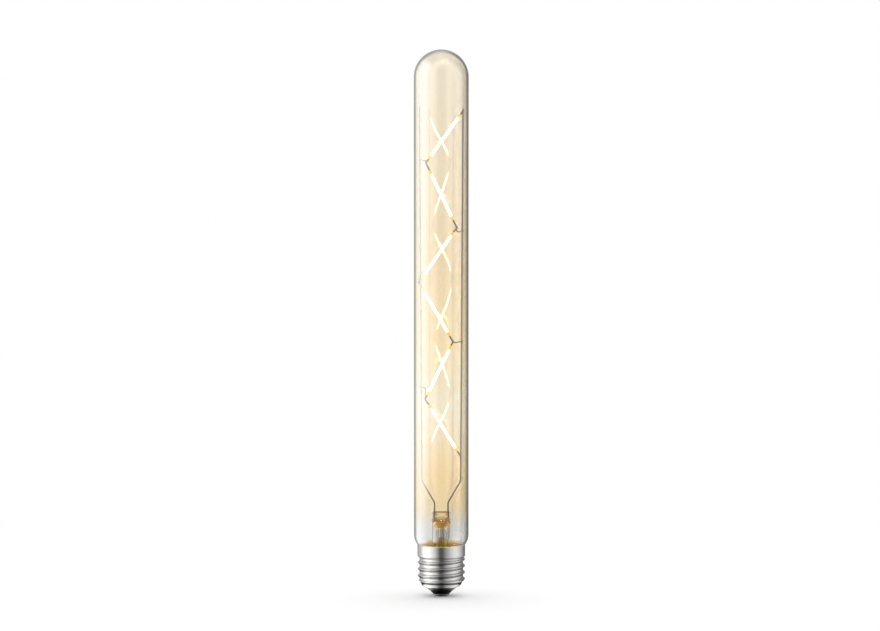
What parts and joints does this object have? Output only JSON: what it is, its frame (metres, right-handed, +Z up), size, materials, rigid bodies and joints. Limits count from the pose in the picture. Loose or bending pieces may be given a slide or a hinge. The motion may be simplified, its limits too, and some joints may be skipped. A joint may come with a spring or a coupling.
{
  "type": "led filament lamp",
  "caption": "Tubular amber glass lamp with LED light strips in a zigzag between support wires, a pinched glass stem and a metal screw cap with a driver inside.",
  "frame": {"origin": "centre of the flat end face of the centre contact", "axes": "+Z up the lamp's axis from the contact to the dome, -Y towards the viewer, +X to the viewer's right"},
  "size_m": [0.03, 0.03, 0.2999],
  "materials": {
    "amber_glass": "clear amber tint, polished",
    "clear_glass": "clear, polished",
    "cement": "matt cured cement",
    "cap_metal": "bright plated sheet",
    "black_insulator": "black glazed",
    "contact_metal": "dull tinned metal",
    "wire_metal": "drawn wire",
    "copper_wire": "drawn copper",
    "light_strip": "yellow phosphor silicone",
    "tab_metal": "stamped strip",
    "board_laminate": "green lacquered laminate",
    "chip_plastic": "moulded black",
    "capacitor_sleeve": "dark shrink sleeve",
    "resistor_body": "grey-green lacquer"
  },
  "bodies": {
    "root": {"glass_envelope": "amber_glass", "stem_glass": "clear_glass", "exhaust_tube": "clear_glass", "base_cement": "cement", "screw_shell": "cap_metal", "cap_insulator": "black_insulator", "centre_contact": "contact_metal", "left_support_wire": "wire_metal", "right_support_wire": "wire_metal", "left_lead_wire": "copper_wire", "right_lead_wire": "copper_wire", "filament_hook_1": "wire_metal", "filament_hook_2": "wire_metal", "filament_hook_3": "wire_metal", "filament_hook_4": "wire_metal", "filament_hook_5": "wire_metal", "filament_1": "light_strip", "filament_2": "light_strip", "filament_3": "light_strip", "filament_4": "light_strip", "filament_5": "light_strip", "filament_6": "light_strip", "filament_1_upper_tab": "tab_metal", "filament_1_lower_tab": "tab_metal", "filament_2_upper_tab": "tab_metal", "filament_2_lower_tab": "tab_metal", "filament_3_upper_tab": "tab_metal", "filament_3_lower_tab": "tab_metal", "filament_4_upper_tab": "tab_metal", "filament_4_lower_tab": "tab_metal", "filament_5_upper_tab": "tab_metal", "filament_5_lower_tab": "tab_metal", "filament_6_upper_tab": "tab_metal", "filament_6_lower_tab": "tab_metal", "driver_board": "board_laminate", "bridge_rectifier": "chip_plastic", "driver_chip": "chip_plastic", "bulk_capacitor": "capacitor_sleeve", "fuse_resistor": "resistor_body", "shell_wire": "copper_wire"}
  },
  "joints": []
}
